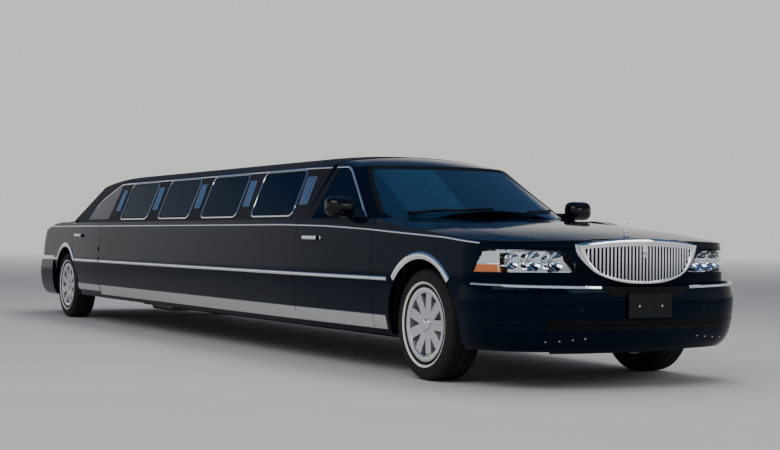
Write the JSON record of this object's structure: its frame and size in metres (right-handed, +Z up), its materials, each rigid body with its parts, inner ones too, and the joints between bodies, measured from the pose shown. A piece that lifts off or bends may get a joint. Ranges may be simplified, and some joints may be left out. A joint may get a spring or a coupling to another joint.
{
  "type": "stretch limousine",
  "caption": "Long black stretch limousine with opening doors, hood and trunk, rolling wheels, steering front wheels and a hollow passenger cabin.",
  "frame": {"origin": "centre of the car's length and width, on the ground", "axes": "+X forward, +Y to the car's left, +Z up"},
  "size_m": [10.0397, 2.17, 1.4968],
  "materials": {
    "body_paint": "deep gloss",
    "roof_cover": "grained vinyl",
    "tinted_glass": "dark tint",
    "lamp_glass": "clear",
    "tail_lens": "ribbed red",
    "chrome": "polished",
    "reflector": "polished",
    "tyre": "black with a thin white ring",
    "alloy": "satin silver",
    "black_plastic": "grained",
    "dark_steel": "underbody black",
    "exhaust_steel": "dull",
    "seat_leather": "stitched black",
    "cabinet_wood": "lacquered",
    "carpet_floor": "coated"
  },
  "bodies": {
    "car_body": {"roof": "roof_cover", "side_panels": "body_paint", "side_glass": "tinted_glass", "windshield": "tinted_glass", "rear_window": "tinted_glass", "front_fenders": "body_paint", "nose_panel": "body_paint", "headlamp_lenses": "lamp_glass", "headlamp_reflectors": "reflector", "rear_quarters": "body_paint", "tail_lamps": "tail_lens", "front_bumper": "body_paint", "rear_bumper": "body_paint", "grille": "chrome", "plate_bracket": "black_plastic", "floor_pan": "carpet_floor", "frame_rails": "dark_steel", "wheelhouses": "black_plastic", "engine": "dark_steel", "radiator": "black_plastic", "front_suspension": "dark_steel", "rear_axle": "dark_steel", "exhaust": "exhaust_steel", "fuel_tank": "dark_steel", "dashboard": "black_plastic", "steering_wheel": "black_plastic", "front_seats": "seat_leather", "partition": "cabinet_wood", "rear_seat": "seat_leather", "side_bench": "seat_leather", "bar_cabinet": "cabinet_wood"},
    "front_door_right": {"front_door_right": "body_paint", "front_door_glass_right": "tinted_glass", "mirror_right": "body_paint"},
    "front_right_wheel": {"front_right_wheel": "alloy", "front_right_tyre": "tyre"},
    "rear_door_right": {"rear_door_right": "body_paint", "rear_door_glass_right": "tinted_glass"},
    "rear_right_wheel": {"rear_right_wheel": "alloy", "rear_right_tyre": "tyre"},
    "knuckle_right": {"knuckle_right": "dark_steel"},
    "front_door_left": {"front_door_left": "body_paint", "front_door_glass_left": "tinted_glass", "mirror_left": "body_paint"},
    "front_left_wheel": {"front_left_wheel": "alloy", "front_left_tyre": "tyre"},
    "rear_door_left": {"rear_door_left": "body_paint", "rear_door_glass_left": "tinted_glass"},
    "rear_left_wheel": {"rear_left_wheel": "alloy", "rear_left_tyre": "tyre"},
    "knuckle_left": {"knuckle_left": "dark_steel"},
    "hood": {"hood": "body_paint"},
    "trunk_lid": {"trunk_lid": "body_paint"}
  },
  "joints": [
    {"name": "steer_right", "type": "hinge", "parent": "car_body", "child": "knuckle_right", "pos_m": [3.9615, -0.7, 0.344], "axis": [0, 0, 1], "range_deg": [-35, 35]},
    {"name": "spin_front_right", "type": "hinge", "parent": "knuckle_right", "child": "front_right_wheel", "pos_m": [3.9615, -0.805, 0.344], "axis": [0, 1, 0], "continuous": true},
    {"name": "spin_rear_right", "type": "hinge", "parent": "car_body", "child": "rear_right_wheel", "pos_m": [-3.6005, -0.833, 0.344], "axis": [0, 1, 0], "continuous": true},
    {"name": "front_door_right_hinge", "type": "hinge", "parent": "car_body", "child": "front_door_right", "pos_m": [3.3515, -0.996, 0.7], "axis": [0, 0, 1], "range_deg": [0, 65]},
    {"name": "rear_door_right_hinge", "type": "hinge", "parent": "car_body", "child": "rear_door_right", "pos_m": [-2.3605, -0.996, 0.7], "axis": [0, 0, 1], "range_deg": [0, 65]},
    {"name": "steer_left", "type": "hinge", "parent": "car_body", "child": "knuckle_left", "pos_m": [3.9615, 0.7, 0.344], "axis": [0, 0, 1], "range_deg": [-35, 35]},
    {"name": "spin_front_left", "type": "hinge", "parent": "knuckle_left", "child": "front_left_wheel", "pos_m": [3.9615, 0.805, 0.344], "axis": [0, 1, 0], "continuous": true},
    {"name": "spin_rear_left", "type": "hinge", "parent": "car_body", "child": "rear_left_wheel", "pos_m": [-3.6005, 0.833, 0.344], "axis": [0, 1, 0], "continuous": true},
    {"name": "front_door_left_hinge", "type": "hinge", "parent": "car_body", "child": "front_door_left", "pos_m": [3.3515, 0.996, 0.7], "axis": [0, 0, -1], "range_deg": [0, 65]},
    {"name": "rear_door_left_hinge", "type": "hinge", "parent": "car_body", "child": "rear_door_left", "pos_m": [-2.3605, 0.996, 0.7], "axis": [0, 0, -1], "range_deg": [0, 65]},
    {"name": "hood_hinge", "type": "hinge", "parent": "car_body", "child": "hood", "pos_m": [3.3115, 0, 1.012], "axis": [0, -1, 0], "range_deg": [0, 50]},
    {"name": "trunk_hinge", "type": "hinge", "parent": "car_body", "child": "trunk_lid", "pos_m": [-4.1205, 0, 1.046], "axis": [0, 1, 0], "range_deg": [0, 75]}
  ],
  "couplings": [
    {"joint": "steer_left", "follows": "steer_right", "ratio": 1}
  ]
}
